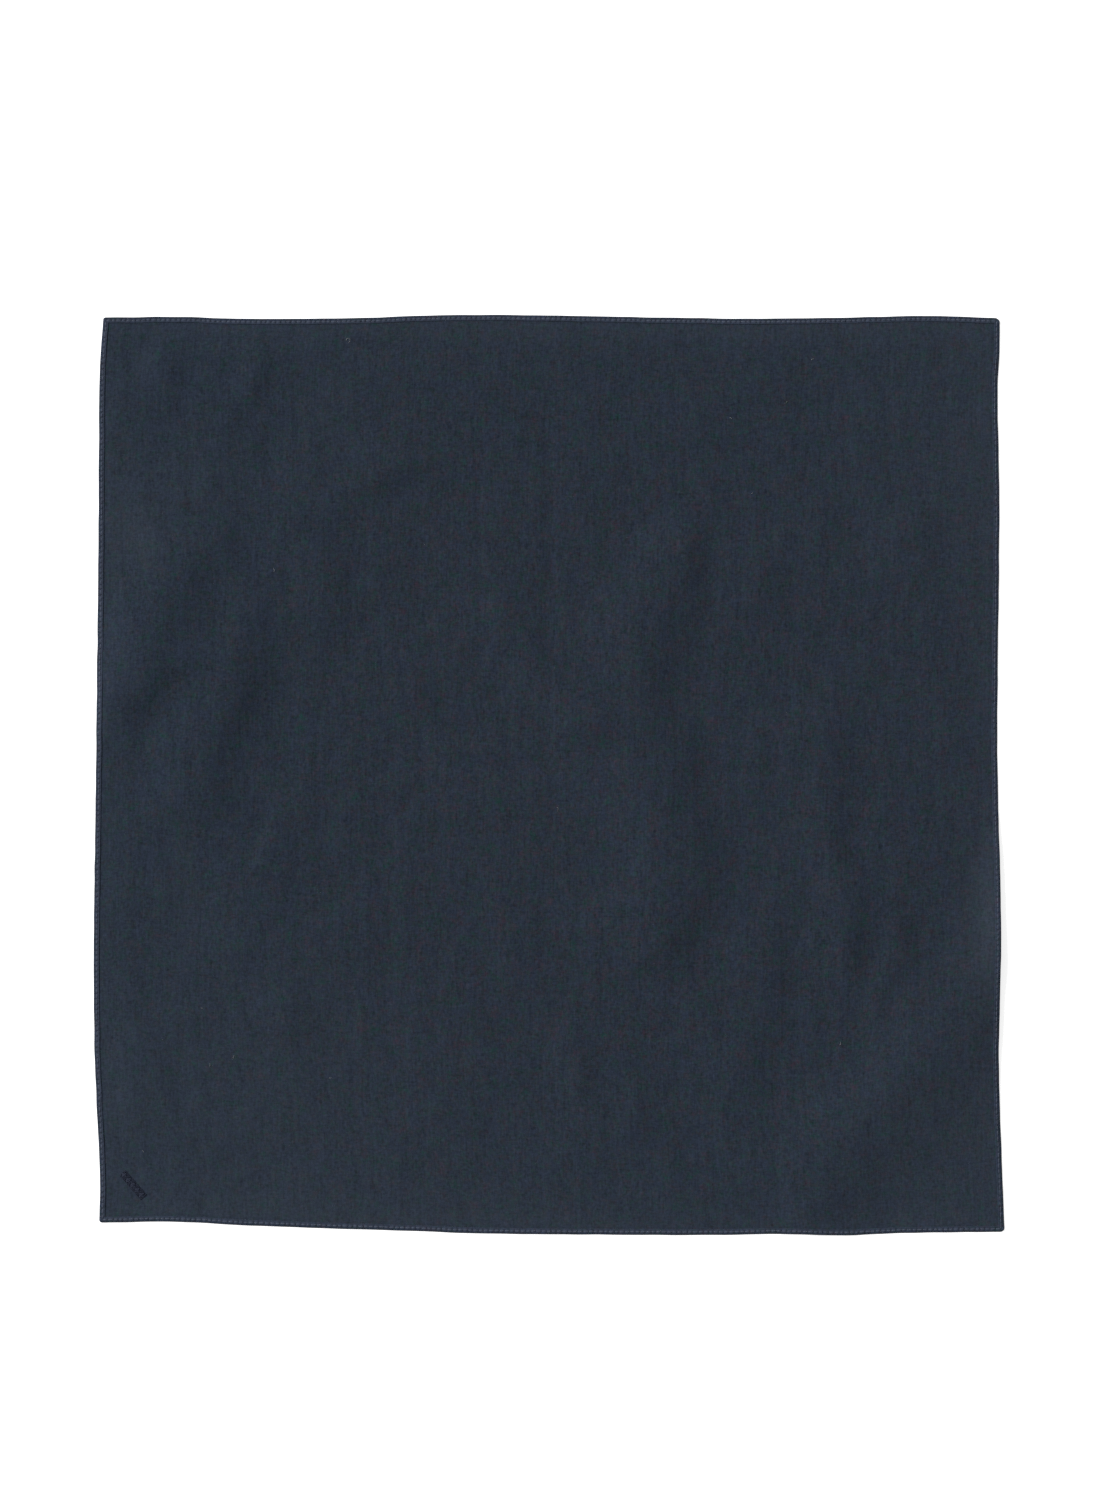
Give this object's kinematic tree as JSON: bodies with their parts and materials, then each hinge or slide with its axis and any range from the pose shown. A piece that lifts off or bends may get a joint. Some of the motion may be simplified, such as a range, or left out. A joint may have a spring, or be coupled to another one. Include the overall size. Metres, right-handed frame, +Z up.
{
  "type": "handkerchief",
  "caption": "Square navy handkerchief of slubby plain-woven cotton, laid out flat, with narrow stitched hems, soft wrinkles and a small tonal embroidered corner motif.",
  "frame": {"origin": "on the resting plane, under the middle of the laid-out cloth's outline", "axes": "+X across to the right-hand hem, +Y up the cloth to the top hem, +Z up from the resting plane through the face of the cloth"},
  "size_m": [0.4535, 0.4584, 0.0033],
  "materials": {
    "cloth": "matt dark navy cotton, plain weave with slubs",
    "thread": "dark navy sewing and embroidery thread, slightly lustrous"
  },
  "bodies": {
    "root": {"cloth_panel": "cloth", "hem_top": "cloth", "hem_bottom": "cloth", "hem_left": "cloth", "hem_right": "cloth", "corner_embroidery": "thread"}
  },
  "joints": []
}
